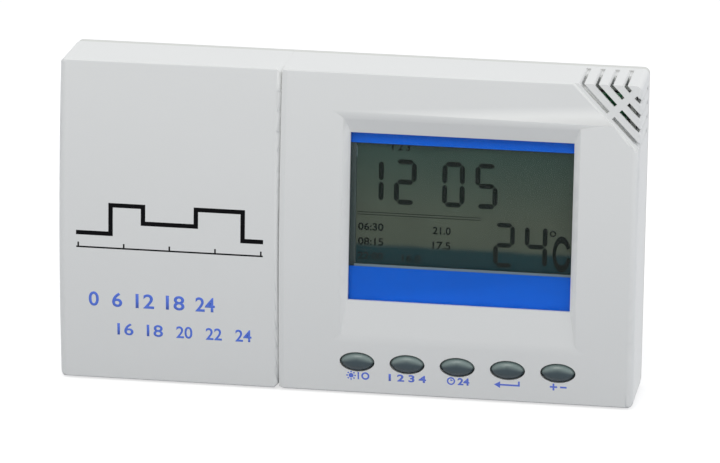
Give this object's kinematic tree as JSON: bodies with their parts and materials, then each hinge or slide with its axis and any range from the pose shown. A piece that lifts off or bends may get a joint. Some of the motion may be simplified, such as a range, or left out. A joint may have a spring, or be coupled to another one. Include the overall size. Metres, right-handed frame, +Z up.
{
  "type": "wall thermostat",
  "caption": "Slim wall-mounted room thermostat: bulged two-part front with a sunk, tilted display window, a row of oval keys, a slotted corner vent and a sliding battery door.",
  "frame": {"origin": "centre of the wall plate's back face, where it lies on the wall", "axes": "+X to the right and +Z up as seen from the front; +Y into the wall, so the front faces -Y"},
  "size_m": [0.141, 0.0237, 0.08],
  "materials": {
    "shell_plastic": "fine satin",
    "back_plastic": "fine satin",
    "key_plastic": "satin",
    "clear_window": "clear",
    "blue_film": "printed",
    "display_glass": "polished",
    "frame_plastic": "satin",
    "zebra_rubber": "matte",
    "circuit_board": "lacquered",
    "black_plastic": "satin",
    "can_sleeve": "shrunk sleeve",
    "epoxy_bead": "glossy",
    "relay_case": "glossy",
    "tinned_metal": "tinned",
    "spring_steel": "drawn wire",
    "screw_steel": "zinc plated",
    "terminal_green": "satin",
    "cell_jacket": "glossy",
    "knob_plastic": "satin",
    "reset_plastic": "satin",
    "plunger_plastic": "satin"
  },
  "bodies": {
    "plate": {"wall_plate": "back_plastic", "terminal_block": "terminal_green", "terminal_clamps": "tinned_metal", "terminal_screws": "screw_steel"},
    "unit": {"back_case": "back_plastic", "front_cover": "shell_plastic", "case_screws": "screw_steel", "board_screws": "screw_steel", "window_lens": "clear_window", "window_mask": "blue_film", "display_frame": "frame_plastic", "display_glass": "display_glass", "zebra_strips": "zebra_rubber", "main_board": "circuit_board", "relay_board": "circuit_board", "controller_chip": "black_plastic", "watch_crystal": "tinned_metal", "board_capacitors": "can_sleeve", "thermistor": "epoxy_bead", "tact_switches": "black_plastic", "relay": "relay_case", "relay_capacitor": "can_sleeve", "board_header": "black_plastic", "contact_pins": "tinned_metal", "battery_bridge": "tinned_metal", "battery_terminals": "tinned_metal", "battery_springs": "spring_steel", "cell_left": "cell_jacket", "cell_right": "cell_jacket", "selector_switch": "black_plastic", "reset_switch": "black_plastic"},
    "door": {"battery_door": "shell_plastic"},
    "key1": {"key_1": "key_plastic", "plunger_1": "plunger_plastic"},
    "key2": {"key_2": "key_plastic", "plunger_2": "plunger_plastic"},
    "key3": {"key_3": "key_plastic", "plunger_3": "plunger_plastic"},
    "key4": {"key_4": "key_plastic", "plunger_4": "plunger_plastic"},
    "key5": {"key_5": "key_plastic", "plunger_5": "plunger_plastic"},
    "selector": {"selector_knob": "knob_plastic"},
    "reset": {"reset_button": "reset_plastic"}
  },
  "joints": [
    {"name": "unit_release", "type": "slide", "parent": "plate", "child": "unit", "axis": [0, -1, 0], "range_m": [0, 0.04]},
    {"name": "door_slide", "type": "slide", "parent": "unit", "child": "door", "axis": [-1, 0, 0], "range_m": [0, 0.058]},
    {"name": "key1_press", "type": "slide", "parent": "unit", "child": "key1", "axis": [0, 1, 0], "range_m": [0, 0.0006], "stiffness_N_per_m": 300, "springref_m": -0.001},
    {"name": "key2_press", "type": "slide", "parent": "unit", "child": "key2", "axis": [0, 1, 0], "range_m": [0, 0.0006], "stiffness_N_per_m": 300, "springref_m": -0.001},
    {"name": "key3_press", "type": "slide", "parent": "unit", "child": "key3", "axis": [0, 1, 0], "range_m": [0, 0.0006], "stiffness_N_per_m": 300, "springref_m": -0.001},
    {"name": "key4_press", "type": "slide", "parent": "unit", "child": "key4", "axis": [0, 1, 0], "range_m": [0, 0.0006], "stiffness_N_per_m": 300, "springref_m": -0.001},
    {"name": "key5_press", "type": "slide", "parent": "unit", "child": "key5", "axis": [0, 1, 0], "range_m": [0, 0.0006], "stiffness_N_per_m": 300, "springref_m": -0.001},
    {"name": "selector_slide", "type": "slide", "parent": "unit", "child": "selector", "axis": [0, 0, 1], "range_m": [0, 0.004]},
    {"name": "reset_press", "type": "slide", "parent": "unit", "child": "reset", "axis": [0, 1, 0], "range_m": [0, 0.0006], "stiffness_N_per_m": 300, "springref_m": -0.001}
  ]
}
